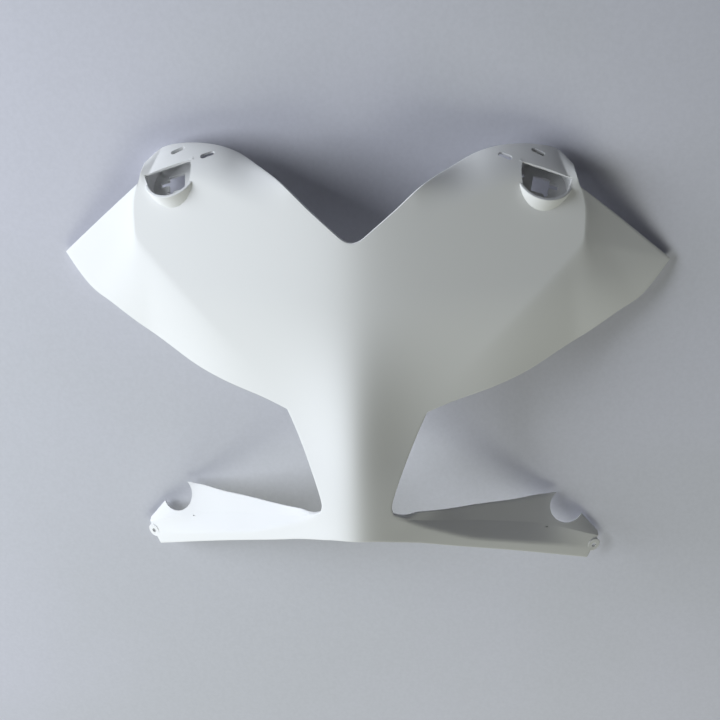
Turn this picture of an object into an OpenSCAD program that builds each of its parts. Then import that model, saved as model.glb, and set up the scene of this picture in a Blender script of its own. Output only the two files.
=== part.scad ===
// Front fairing of a sport motorcycle: one thin moulded sheet with a central
// spine, two lobed wings, two headlight openings and two arms below them.
// X runs across the bike, Y runs back from the nose, Z runs up the rear plane.

/* [Overall] */
// Width over the two wing tips
span = 616; // [560:2:680]
// Rise of the beak in front of the plane that the rear edges lie in
nose_rise = 146; // [120:1:170]
// Thickness of the moulded sheet
wall = 3; // [2:0.25:4]
// Height of the vee between the lobes
vee_z = 135; // [120:1:150]
// Height of the top of each lobe
lobe_top_z = 208; // [198:1:218]
// Distance from the middle to the top of each lobe
lobe_top_x = 148; // [135:1:160]
// Height of the wing tips
tip_z = 84; // [70:1:98]

/* [Surface] */
// How fast the spine leans back with height
spine_rake = 0.22; // [0.18:0.01:0.26]
// Radius of the rounded spine
spine_r = 32; // [20:1:44]
// Sideways fall of the lobes, per millimetre
wing_fall = 0.235; // [0.2:0.005:0.26]
// Sideways fall of the arms, per millimetre
arm_fall = 0.55; // [0.5:0.01:0.6]
// Extra fall beside the spine, between the openings
keel_drop = 32; // [22:1:40]
// Extra fall of the flank beyond the crease, per millimetre
flank_fall = 0.22; // [0.12:0.01:0.26]
// Extra lean of the wing's upper corner, per millimetre
tip_lean = 0.12; // [0:0.02:0.2]
// Radius of the edge that rolls back along the top of each lobe
roll_r = 34; // [24:1:40]

/* [Openings] */
// Half width of the spine at the top of the openings
spine_top_x = 71; // [64:1:78]
// Half width of the spine at its narrowest
spine_low_x = 37; // [32:1:42]
// Height of the inner top corner of each opening
corner_z = -45; // [-52:1:-38]
// Height of the inner bottom corner of each opening
notch_z = -147; // [-152:1:-142]
// Depth of the flange that returns along the wing
wing_flange = 9; // [6:0.5:14]
// Depth of the flange that returns along the spine
spine_flange = 6; // [4:0.5:10]

/* [Arms] */
// Height of the bottom edge in the middle
beak_z = -170; // [-176:1:-164]
// Distance from the middle to the end of each arm
arm_x = 257; // [240:1:270]
// Height of the top corner at the end of each arm
arm_z = -258; // [-266:1:-250]
// Height of the front of each arm at its end, strip and slope together
strip_h = 25; // [20:1:30]
// Part of that height that the flat strip takes
strip_part = 0.42; // [0.3:0.02:0.6]
// How far the slope above the strip leans back, per millimetre of height
slope_lean = 0.9; // [0.5:0.05:1.1]
// Share of that lean that is left at the end of the arm
slope_end = 0.15; // [0.05:0.05:0.4]
// Radius of the scoop in the end of the shelf
scoop_r = 19; // [14:0.5:21]

/* [Mirror bosses] */
// Distance from the middle to the centre of each boss
boss_x = 180; // [178:1:185]
// Height of the centre of the mouth of each boss
boss_z = 182; // [174:1:182]
// How far the mouth stands in front of the rear plane
boss_y = 31; // [27:0.5:33]
// Outside diameter of the boss
boss_d = 56; // [50:1:58]
// Wall of the boss around its pocket
boss_wall = 3; // [2:0.25:4]
// Depth of the pocket
pocket_depth = 15; // [10:1:20]
// Thickness of the floor of the pocket
floor_t = 3; // [2:0.5:5]
// Forward lean of the boss
boss_lean = 30; // [26:1:34]
// Outward splay of the boss
boss_splay = 16; // [8:1:16]
// Height of the roof over the back of the pocket, above its mouth
roof_h = 7.2; // [6:0.1:8]
// Distance from the middle of the pocket to the edge of that roof
roof_y = 2; // [0:0.5:6]
// Diameter of the screw hole in the floor
screw_d = 4; // [3:0.5:5]

/* [Slots and tabs] */
// Length of each slot in the rolled edge
slot_l = 14; // [10:1:18]
// Width of each slot
slot_w = 5; // [4:0.5:6]
// Distance from the middle to the inner slot
slot_in_x = 142; // [136:1:148]
// Distance from the middle to the outer slot
slot_out_x = 173; // [168:1:178]
// Distance from the rear plane to the inner slot
slot_in_y = 31; // [27:1:34]
// Distance from the rear plane to the outer slot
slot_out_y = 21; // [18:1:26]
// Diameter of the tab at the end of each arm
tab_d = 16; // [14:0.5:20]
// Thickness of the tab
tab_t = 4; // [3:0.5:6]
// Diameter of the bolt hole in the tab
tab_hole_d = 5.4; // [4:0.1:6.5]

/* [Hidden] */
half = span / 2;
n_spine = 6;      // columns from the middle to the edge of the spine
n_wing = 18;      // columns from there to the wing tip
n_arm = 14;       // columns from there to the end of the arm
n_strip = 4;      // rows up the front strip
n_neck = 7;       // rows up the spine between the openings
n_flank = 5;      // rows from the wing's lower edge to the crease
n_face = 7;       // rows from the crease to the rolled edge
n_roll = 4;       // rows round the rolled edge
j_strip = n_strip;
j_corner = j_strip + n_neck;
j_crease = j_corner + n_flank;
j_roll = j_crease + n_face;
j_top = j_roll + n_roll;
i_wing = n_spine + n_wing;
i_arm = n_spine + n_arm;

function mix(a, b, t) = a + (b - a) * t;
function clamp(t) = min(max(t, 0), 1);
function ease(t) = let (u = clamp(t)) u * u * (3 - 2 * u);
function unit(v) = v / norm(v);

// A smooth curve through the points p, from t = 0 at the first to t = 1 at the last
function curve(p, t) =
    let (n = len(p) - 1, s = clamp(t) * n, k = min(floor(s), n - 1), u = s - k,
         a = k > 0 ? p[k - 1] : 2 * p[0] - p[1], b = p[k], c = p[k + 1],
         d = k < n - 1 ? p[k + 2] : 2 * p[n] - p[n - 1])
    b + u / 2 * (c - a + u * (2 * a - 5 * b + 4 * c - d + u * (3 * b - a - 3 * c + d)));

// How far the sheet stands in front of the rear plane at [x, z]
function ridge(z) =
    let (t = z - beak_z) nose_rise - spine_rake / 2 * (sqrt(t * t + 3600) - 60 + t);
function side_fall(z) = mix(wing_fall, arm_fall, ease((-95 - z) / 80));
function keel(z) = keel_drop * (z > -85 ? ease((85 - z) / 170) : mix(1, 0.56, ease((-85 - z) / 80)));
function sheet(x, z) =
    ridge(z) - side_fall(z) * (sqrt(x * x + spine_r * spine_r) - spine_r)
    - keel(z) * x * x / (x * x + 2500);

// Outlines of the right half, as [x, z], from the middle outwards
crease_top = [0.692 * half, vee_z + 38];
wing_tip = [half, tip_z];
wing_low = [[spine_top_x, corner_z], [98, corner_z + 8], [136, -28], [170, -17], [202, 0],
            [half - 79, 15], [half - 50, 35], [half - 26, 50], wing_tip];
crease = [[spine_top_x - 3, corner_z + 18], [88, -14], [112, 10], [143, 43], [174, 75],
          [201, 102], [217, 120], [219, 138], [218, 156], crease_top];
top_edge = [[12, vee_z + 5], [40, vee_z + 28], [68, vee_z + 51], [98, lobe_top_z - 11],
            [126, lobe_top_z - 2], [lobe_top_x + 4, lobe_top_z], [177, lobe_top_z - 3],
            [194, lobe_top_z - 9], crease_top + [-6, 17]];
notch = [spine_low_x + 1, notch_z];
neck = [notch, [spine_low_x - 0.5, notch_z + 9], [40, -124], [46.5, -105], [55, -83],
        [64, -61], [spine_top_x, corner_z]];
strip_top = [notch, [60, -165], [95, -183], [128, -198], [161, -212.5], [194, -226.5],
             [mix(194, arm_x, 0.45), mix(-226.5, arm_z, 0.4)], [arm_x, arm_z]];
strip_low = [[30, beak_z - 7], [61, -191], [94, -208], [127, -224], [160, -240], [192, -256],
             [mix(192, arm_x - 12, 0.5), mix(-256, arm_z - strip_h, 0.5)],
             [arm_x - 12, arm_z - strip_h]];
// The free edge of the shelf, as [x, z, distance in front of the rear plane]
shelf_edge = [[spine_low_x + 6, notch_z - 3, 121], [66, -154, 104], [94, -160, 79], [128, -170, 54],
              [162, -183, 31], [194, -196, 10], [mix(212, arm_x, 0.1), -207, 3.5],
              [arm_x - 1, arm_z + 4, 3]];

// Row of the middle of the spine, from the bottom edge to the vee
function row_z(j) =
    j <= j_strip ? mix(beak_z, notch_z + 6, j / n_strip)
    : j <= j_corner ? mix(notch_z + 6, corner_z - 6, (j - j_strip) / n_neck)
    : j <= j_crease ? mix(corner_z - 6, corner_z + 32, (j - j_corner) / n_flank)
    : mix(corner_z + 32, vee_z, (j - j_crease) / (j_top - j_crease));

// Edge of the spine block at row j
function spine_edge(j) =
    j <= j_strip ? mix(strip_low[0], notch, j / n_strip)
    : j <= j_corner ? curve(neck, (j - j_strip) / n_neck)
    : wing_point(0, j);

// A point of the wing, at s = 0 beside the spine and s = 1 at the outer edge
function roll_share(j) = j <= j_roll ? 0 : sin(76 * (j - j_roll) / n_roll) / sin(76);
function wing_point(s, j) =
    let (low = curve(wing_low, s), mid = curve(crease, s), top = curve(top_edge, s),
         long = norm(top - mid), roll = min(roll_r, 0.6 * long) / long)
    j <= j_crease ? mix(low, mid, (j - j_corner) / n_flank)
    : j <= j_roll ? mix(mid, top, (1 - roll) * (j - j_crease) / n_face)
    : mix(mid, top, 1 - roll * (1 - roll_share(j)));

function flat_point(i, j) =
    i <= n_spine ?
        let (e = spine_edge(j), s = i / n_spine, m = row_z(j)) [e[0] * s, mix(m, e[1], s * s)]
    : j <= j_strip ?
        let (s = (i - n_spine) / n_arm) mix(curve(strip_low, s), curve(strip_top, s), j / n_strip)
    : wing_point((i - n_spine) / n_wing, j);

// The crease between the flat strip and the slope above it, from 1 at the notch downwards
function strip_crease(s) = mix(1, strip_part, ease(s / 0.45));
function slope_drop(i, j, p) =
    j > j_strip || i <= n_spine ? 0
    : let (s = (i - n_spine) / n_arm, over = j / n_strip - strip_crease(s))
      slope_lean * mix(1, slope_end, ease((s - 0.6) / 0.4)) * max(over, 0)
          * norm(curve(strip_top, s) - curve(strip_low, s));

// What the flank and the rolled edge take off the height of the sheet
function flank_drop(i, j, p) =
    i <= n_spine || j < j_corner || j >= j_crease ? 0
    : let (s = (i - n_spine) / n_wing) flank_fall * norm(p - curve(crease, s)) * ease(s / 0.6);
// The upper part of the flank leans back beyond a line from the crease to the wing tip
tip_from = [crease_top[0] + 10, 0.68 * crease_top[1]];
function tip_drop(p, i, j) =
    i <= n_spine || j < j_corner || j > j_crease ? 0
    : let (d = unit(wing_tip - tip_from), away = (p - tip_from) * [-d[1], d[0]])
      tip_lean * max(away, 0) * min(1, 2 * (j_crease - j) / n_flank);
function roll_drop(i, j) =
    j <= j_roll || i < n_spine ? 0
    : let (s = (i - n_spine) / n_wing, top = curve(top_edge, s),
           r = min(roll_r, 0.6 * norm(top - curve(crease, s))))
      r * (1 - cos(76 * (j - j_roll) / n_roll)) * ease((s - 0.2) / 0.25);

function point(i, j) =
    let (p = flat_point(i, j),
         h = sheet(p[0], p[1]) - flank_drop(i, j, p) - roll_drop(i, j) - slope_drop(i, j, p) - tip_drop(p, i, j))
    [p[0], -max(h, wall), p[1]];

function in_sheet(i, j) =
    i >= 0 && j >= 0 && j < j_top
    && (i < n_spine || (j < j_strip && i < i_arm) || (j >= j_corner && i < i_wing));
i_max = max(i_wing, i_arm);
grid = [for (i = [0:i_max]) [for (j = [0:j_top])
    i <= n_spine || (j <= j_strip && i <= i_arm) || (j >= j_corner && i <= i_wing)
    ? point(i, j) : [0, 0, 0]]];

// Unit normal of the face at a grid point, pointing forward
function cell(i, j) = in_sheet(i, j) ? 1 : 0;
function step_i(i, j) =
    let (right = cell(i, j) + cell(i, j - 1) > 0, left = cell(i - 1, j) + cell(i - 1, j - 1) > 0,
         a = grid[i][j])
    i == 0 ? [1, 0, 0]
    : (right ? unit(grid[i + 1][j] - a) : [0, 0, 0]) + (left ? unit(a - grid[i - 1][j]) : [0, 0, 0]);
function step_j(i, j) =
    let (up = cell(i, j) + cell(i - 1, j) > 0, down = cell(i, j - 1) + cell(i - 1, j - 1) > 0,
         a = grid[i][j])
    (up ? unit(grid[i][j + 1] - a) : [0, 0, 0]) + (down ? unit(a - grid[i][j - 1]) : [0, 0, 0]);
function normal(i, j) = unit(cross(step_i(i, j), step_j(i, j)));

// The flange starts at the wing tip, follows the edge of the opening and ends at the arm
chain = concat([for (i = [i_wing:-1:n_spine]) [i, j_corner]],
               [for (j = [j_corner - 1:-1:j_strip]) [n_spine, j]],
               [for (i = [n_spine + 1:i_arm]) [i, j_strip]]);
n_chain = len(chain) - 1;
c_neck = n_wing;
c_notch = n_wing + n_neck;
rim = [for (c = chain) grid[c[0]][c[1]]];
rim_normal = [for (c = chain) normal(c[0], c[1])];
function rim_width(c) = c <= c_neck ? mix(wing_flange, spine_flange, ease(c / c_neck)) : spine_flange;
function flange_edge(c) =
    let (narrow = rim[c] - rim_width(c) * rim_normal[c], q = (c - c_notch) / n_arm,
         e = curve(shelf_edge, q), wide = [e[0], -e[2], e[1]])
    c <= c_notch ? [narrow[0], min(narrow[1], -0.2), narrow[2]] : mix(narrow, wide, ease(q / 0.12));
flange = [for (c = [0:n_chain]) flange_edge(c)];
// Direction across the flange's own thickness, away from the opening
function along(c) = unit(rim[min(c + 1, n_chain)] - rim[max(c - 1, 0)]);
function flange_normal(c) = unit(cross(flange[c] - rim[c], along(c)));

// Points of both skins, right half first, then its mirror image
n_grid = (i_max + 1) * (j_top + 1);
n_flange = n_chain + 1;
function back_point(i, j) = grid[i][j] - wall * normal(i, j);
function rim_back(c) =
    let (n = -rim_normal[c], f = flange_normal(c)) rim[c] + wall / max(1 + n * f, 0.4) * (n + f);
c_of = [for (i = [0:i_max]) [for (j = [0:j_top])
    j == j_corner && i >= n_spine && i <= i_wing ? i_wing - i
    : i == n_spine && j >= j_strip && j < j_corner ? n_wing + j_corner - j
    : j == j_strip && i > n_spine && i <= i_arm ? c_notch + i - n_spine : -1]];
function used(i, j) = cell(i, j) + cell(i, j - 1) + cell(i - 1, j) + cell(i - 1, j - 1) > 0;
front = [for (i = [0:i_max]) for (j = [0:j_top]) grid[i][j]];
rear = [for (i = [0:i_max]) for (j = [0:j_top])
    !used(i, j) ? [0, 0, 0] : c_of[i][j] >= 0 ? rim_back(c_of[i][j]) : back_point(i, j)];
flange_rear = [for (c = [0:n_chain]) flange[c] + wall * flange_normal(c)];
right = concat(front, rear, flange, flange_rear);
points = concat(right, [for (p = right) [-p[0], p[1], p[2]]]);

function id(side, layer, i, j) =
    (i == 0 ? 0 : side) * len(right) + layer * n_grid + i * (j_top + 1) + j;
function rim_id(side, layer, c) = id(side, layer, chain[c][0], chain[c][1]);
function edge_id(side, layer, c) = side * len(right) + 2 * n_grid + layer * n_flange + c;

function quad(a, b, c, d) = [[a, b, c], [a, c, d]];
function skins(s) = [for (i = [0:i_max]) for (j = [0:j_top]) if (in_sheet(i, j))
    for (f = concat(
        quad(id(s, 0, i, j), id(s, 0, i, j + 1), id(s, 0, i + 1, j + 1), id(s, 0, i + 1, j)),
        quad(id(s, 1, i, j), id(s, 1, i + 1, j), id(s, 1, i + 1, j + 1), id(s, 1, i, j + 1)))) f];
function low_walls(s) = [for (i = [0:i_arm - 1])
    for (f = quad(id(s, 0, i, 0), id(s, 0, i + 1, 0), id(s, 1, i + 1, 0), id(s, 1, i, 0))) f];
function top_walls(s) = [for (i = [0:i_wing - 1])
    for (f = quad(id(s, 0, i + 1, j_top), id(s, 0, i, j_top), id(s, 1, i, j_top),
                  id(s, 1, i + 1, j_top))) f];
function end_walls(s, i, j0, j1) = [for (j = [j0:j1 - 1])
    for (f = quad(id(s, 0, i, j), id(s, 0, i, j + 1), id(s, 1, i, j + 1), id(s, 1, i, j))) f];
function flange_faces(s) = [for (c = [0:n_chain - 1]) for (f = concat(
    quad(rim_id(s, 0, c + 1), rim_id(s, 0, c), edge_id(s, 0, c), edge_id(s, 0, c + 1)),
    quad(rim_id(s, 1, c), rim_id(s, 1, c + 1), edge_id(s, 1, c + 1), edge_id(s, 1, c)),
    quad(edge_id(s, 0, c + 1), edge_id(s, 0, c), edge_id(s, 1, c), edge_id(s, 1, c + 1)))) f];
function flange_ends(s) = concat(
    quad(edge_id(s, 0, 0), rim_id(s, 0, 0), rim_id(s, 1, 0), edge_id(s, 1, 0)),
    quad(rim_id(s, 0, n_chain), edge_id(s, 0, n_chain), edge_id(s, 1, n_chain),
         rim_id(s, 1, n_chain)));
function half_faces(s) = concat(skins(s), low_walls(s), top_walls(s),
    end_walls(s, i_arm, 0, j_strip), end_walls(s, i_wing, j_corner, j_top),
    flange_faces(s), flange_ends(s));
function flip(faces) = [for (f = faces) [f[2], f[1], f[0]]];

module shell() {
    polyhedron(points, concat(half_faces(0), flip(half_faces(1))));
}

// Placed at the middle of a boss's mouth, with Z out of the mouth
module at_boss(side) {
    translate([side * boss_x, -boss_y, boss_z])
        rotate([boss_lean, side * boss_splay, 0]) children();
}

// The boss meets the underside of the rolled edge behind its mouth
module under_roof(side, top) {
    rotate([0, side * 4.6, 0]) translate([-boss_d, roof_y, -pocket_depth]) cube([2 * boss_d, boss_d, pocket_depth + top]);
}

module boss_solid(side) {
    translate([0, 0, -pocket_depth - floor_t])
        cylinder(d = boss_d, h = pocket_depth + floor_t, $fn = 96);
    intersection() {
        translate([0, 0, -pocket_depth]) cylinder(d = boss_d, h = pocket_depth + 12, $fn = 96);
        under_roof(side, roof_h);
    }
}

pocket_d = boss_d - 2 * boss_wall;
key_w = 17;       // width of the keyed opening in the floor
key_l = 19;       // its length
key_slot = 6;     // width of the slot that leads out of it
screw_r = 0.36 * pocket_d;

module through_floor() {
    translate([0, 0, -pocket_depth - floor_t - 1]) linear_extrude(floor_t + 2) children();
}

module boss_cuts(side) {
    translate([0, 0, -pocket_depth]) cylinder(d = pocket_d, h = pocket_depth, $fn = 96);
    intersection() {
        translate([0, 0, -1]) cylinder(d = pocket_d, h = 16, $fn = 96);
        union() {
            translate([-boss_d, roof_y - boss_d, -2]) cube([2 * boss_d, boss_d, 18]);
            under_roof(side, roof_h - 2);
        }
    }
    through_floor() {
        translate([-key_w / 2, -key_l / 2]) square([key_w, key_l]);
        translate([side * 11, 2]) square([12, key_slot], center = true);
        translate([side * 6, -8]) polygon([[-4, 0], [4, 0], [0, -5]]);
    }
    translate([-side * screw_r, 0.3 * screw_r, -pocket_depth - floor_t - 1])
        cylinder(d = screw_d, h = floor_t + 2, $fn = 32);
}

// A slot for a screw, cut from above through the rolled edge
module slot(side, x, y, z) {
    translate([side * x, -y, z]) rotate([28, 0, 0]) rotate([0, 0, -side * 22])
        translate([0, 0, -6]) linear_extrude(24) hull()
            for (end = [-1, 1]) translate([end * (slot_l - slot_w) / 2, 0]) circle(d = slot_w, $fn = 24);
}

// The tab at the end of an arm, square to the front strip there
tab_x = arm_x - 5;
tab_z = arm_z - 10;
tab_turn = atan(arm_fall);
module at_tab(side) {
    translate([side * tab_x, -sheet(tab_x, tab_z), tab_z]) rotate([-90, 0, side * tab_turn]) children();
}

module scoop(side) {
    translate([side * (arm_x - 37), -12, arm_z + 43]) rotate([60, 0, 0])
        translate([0, 0, -30]) cylinder(r = scoop_r, h = 60, $fn = 96);
}

// The origin is the middle of the box that the whole part fills
solid_points = [for (p = points) if (norm(p) > 0) p];
boss_back = -boss_y + (pocket_depth + floor_t) * sin(boss_lean) + boss_d / 2 * cos(boss_lean);
y_front = min([for (p = solid_points) p[1]]);
y_rear = max(max([for (p = solid_points) p[1]]), boss_back);
z_low = min([for (p = solid_points) p[2]]);
z_high = max([for (p = solid_points) p[2]]);
middle = [0, (y_front + y_rear) / 2, (z_low + z_high) / 2];

module fairing() {
    color("white")
        translate(-middle) difference() {
            union() {
                shell();
                for (side = [-1, 1]) {
                    at_boss(side) boss_solid(side);
                    at_tab(side) cylinder(d = tab_d, h = tab_t, $fn = 64);
                }
            }
            for (side = [-1, 1]) {
                at_boss(side) boss_cuts(side);
                at_tab(side) translate([0, 0, -20]) cylinder(d = tab_hole_d, h = 40, $fn = 32);
                slot(side, slot_in_x, slot_in_y, lobe_top_z - 6);
                slot(side, slot_out_x, slot_out_y, lobe_top_z - 6);
                scoop(side);
            }
        }
}

fairing();
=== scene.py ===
import math
import bmesh
import bpy
import numpy as np
from mathutils import Matrix, Vector
from mathutils.bvhtree import BVHTree
from mathutils.kdtree import KDTree


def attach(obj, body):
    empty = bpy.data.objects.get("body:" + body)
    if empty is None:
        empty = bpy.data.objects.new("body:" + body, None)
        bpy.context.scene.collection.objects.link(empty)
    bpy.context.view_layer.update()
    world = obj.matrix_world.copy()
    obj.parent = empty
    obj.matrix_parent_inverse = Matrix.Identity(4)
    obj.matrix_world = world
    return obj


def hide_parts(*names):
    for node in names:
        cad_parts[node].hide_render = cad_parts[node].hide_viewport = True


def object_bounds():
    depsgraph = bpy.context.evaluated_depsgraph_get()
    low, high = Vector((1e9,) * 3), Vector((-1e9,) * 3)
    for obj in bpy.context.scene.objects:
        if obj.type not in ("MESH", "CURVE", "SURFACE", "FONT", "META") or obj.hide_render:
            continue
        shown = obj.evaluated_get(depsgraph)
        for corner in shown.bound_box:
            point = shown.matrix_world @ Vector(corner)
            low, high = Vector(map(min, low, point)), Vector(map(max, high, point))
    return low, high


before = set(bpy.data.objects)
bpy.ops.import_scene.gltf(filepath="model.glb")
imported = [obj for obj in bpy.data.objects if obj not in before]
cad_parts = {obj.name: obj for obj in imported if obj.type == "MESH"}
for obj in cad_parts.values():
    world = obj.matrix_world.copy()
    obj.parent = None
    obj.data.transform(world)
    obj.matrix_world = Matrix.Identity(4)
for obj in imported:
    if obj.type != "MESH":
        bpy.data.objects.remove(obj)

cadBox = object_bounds()
cadLow, cadHigh = cadBox

# Sizes of the moulded sheet in millimetres, the same as in the part's source
sheetSize = {
    "span": 616, "noseRise": 146, "wall": 3, "veeZ": 135, "lobeTopZ": 208, "lobeTopX": 148,
    "tipZ": 84, "spineRake": 0.22, "spineRadius": 32, "wingFall": 0.235, "armFall": 0.55,
    "keelDrop": 32, "flankFall": 0.22, "rollRadius": 34, "spineTopX": 71, "spineLowX": 37,
    "cornerZ": -45, "notchZ": -147, "wingFlange": 9, "spineFlange": 6, "beakZ": -170,
    "armX": 257, "armZ": -258, "stripHeight": 25, "rollAngle": 76, "stripPart": 0.42, "slopeLean": 0.9,
    "slopeEnd": 0.15, "tipLean": 0.12,
}
# Columns and rows of the visible mesh
sheetGrid = {"spine": 28, "wing": 100, "arm": 76, "strip": 12, "neck": 38, "flank": 26, "face": 44,
             "roll": 16, "fold": 4, "flange": 7}
# Softening of the folded edges, in millimetres
sheetEdge = {"foldRadius": 1.7, "foldReach": 13, "creaseTop": 3.5, "creaseLow": 15, "bevel": 0.7}
bossSize = {
    "x": 180, "z": 182, "y": 31, "diameter": 56, "wall": 3, "depth": 15, "floor": 3, "lean": 30,
    "splay": 16, "screw": 4, "keyWidth": 17, "keyLength": 19, "keySlot": 6, "roofHeight": 7.2,
    "roofStart": 2, "roofThick": 2, "roofTilt": 4.6, "rimRound": 0.9, "backRise": 12, "openRise": 15,
    "slotAt": 2, "slotFrom": 5, "slotTo": 17, "pointAt": 6, "pointHalf": 4, "pointFrom": -8, "pointTo": -13,
    "screwAside": 0.36, "screwRise": 0.3,
}
cutSize = {
    "slotLength": 14, "slotWidth": 5, "slotInX": 142, "slotInY": 31, "slotOutX": 173, "slotOutY": 21,
    "slotDrop": 6, "slotLean": 28, "slotTurn": 22, "slotUnder": 6, "slotOver": 18, "scoopRadius": 19,
    "scoopTilt": 60, "scoopIn": 37, "scoopY": 12, "scoopUp": 43, "scoopReach": 30, "tabDiameter": 16,
    "tabThick": 4, "tabHole": 5.4, "tabIn": 5, "tabDrop": 10, "tabRound": 0.6, "boreReach": 20,
}
roundSteps = {"boss": 144, "scoop": 96, "tab": 64, "tabBore": 48, "screwHole": 32}


def mix(a, b, t):
    return a + (b - a) * t


def ease(t):
    t = np.clip(t, 0, 1)
    return t * t * (3 - 2 * t)


def unit(v):
    return v / np.maximum(np.linalg.norm(v, axis=-1, keepdims=True), 1e-9)


def curve(points, t):
    # smooth curve through the points, t from 0 at the first to 1 at the last
    p = np.asarray(points, float)
    n = len(p) - 1
    s = np.clip(np.asarray(t, float), 0, 1) * n
    k = np.minimum(np.floor(s).astype(int), n - 1)
    u = (s - k)[..., None]
    full = np.vstack([2 * p[0] - p[1], p, 2 * p[n] - p[n - 1]])
    a, b, c, d = full[k], full[k + 1], full[k + 2], full[k + 3]
    return b + u / 2 * (c - a + u * (2 * a - 5 * b + 4 * c - d + u * (3 * b - a - 3 * c + d)))


def sheetHeight(x, z):
    s = sheetSize
    t = z - s["beakZ"]
    ridge = s["noseRise"] - s["spineRake"] / 2 * (np.sqrt(t * t + 3600) - 60 + t)
    fall = mix(s["wingFall"], s["armFall"], ease((-95 - z) / 80))
    keel = s["keelDrop"] * np.where(z > -85, ease((85 - z) / 170), mix(1, 0.56, ease((-85 - z) / 80)))
    r = s["spineRadius"]
    return ridge - fall * (np.sqrt(x * x + r * r) - r) - keel * x * x / (x * x + 2500)


def outlines():
    # right half, as x and z from the middle outwards
    s = sheetSize
    half = s["span"] / 2
    creaseTop = np.array([0.692 * half, s["veeZ"] + 38])
    o = {}
    o["wingLow"] = [[s["spineTopX"], s["cornerZ"]], [98, s["cornerZ"] + 8], [136, -28], [170, -17],
                    [202, 0], [half - 79, 15], [half - 50, 35], [half - 26, 50], [half, s["tipZ"]]]
    o["crease"] = [[s["spineTopX"] - 3, s["cornerZ"] + 18], [88, -14], [112, 10], [143, 43], [174, 75],
                   [201, 102], [217, 120], [219, 138], [218, 156], creaseTop]
    o["topEdge"] = [[12, s["veeZ"] + 5], [40, s["veeZ"] + 28], [68, s["veeZ"] + 51],
                    [98, s["lobeTopZ"] - 11], [126, s["lobeTopZ"] - 2], [s["lobeTopX"] + 4, s["lobeTopZ"]],
                    [177, s["lobeTopZ"] - 3], [194, s["lobeTopZ"] - 9], creaseTop + [-6, 17]]
    notch = [s["spineLowX"] + 1, s["notchZ"]]
    o["neck"] = [notch, [s["spineLowX"] - 0.5, s["notchZ"] + 9], [40, -124], [46.5, -105], [55, -83],
                 [64, -61], [s["spineTopX"], s["cornerZ"]]]
    armX, armZ, strip = s["armX"], s["armZ"], s["stripHeight"]
    o["stripTop"] = [notch, [60, -165], [95, -183], [128, -198], [161, -212.5], [194, -226.5],
                     [mix(194, armX, 0.45), mix(-226.5, armZ, 0.4)], [armX, armZ]]
    o["stripLow"] = [[30, s["beakZ"] - 7], [61, -191], [94, -208], [127, -224], [160, -240], [192, -256],
                     [mix(192, armX - 12, 0.5), mix(-256, armZ - strip, 0.5)], [armX - 12, armZ - strip]]
    o["shelf"] = [[s["spineLowX"] + 6, s["notchZ"] - 3, 121], [66, -160, 104], [94, -173, 79],
                  [128, -183.5, 54], [162, -193.5, 31], [194, -200.5, 10], [mix(212, armX, 0.1), -207.5, 3.5],
                  [armX - 1, armZ + 4, 3]]
    return {name: np.array(p, float) for name, p in o.items()}


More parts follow.
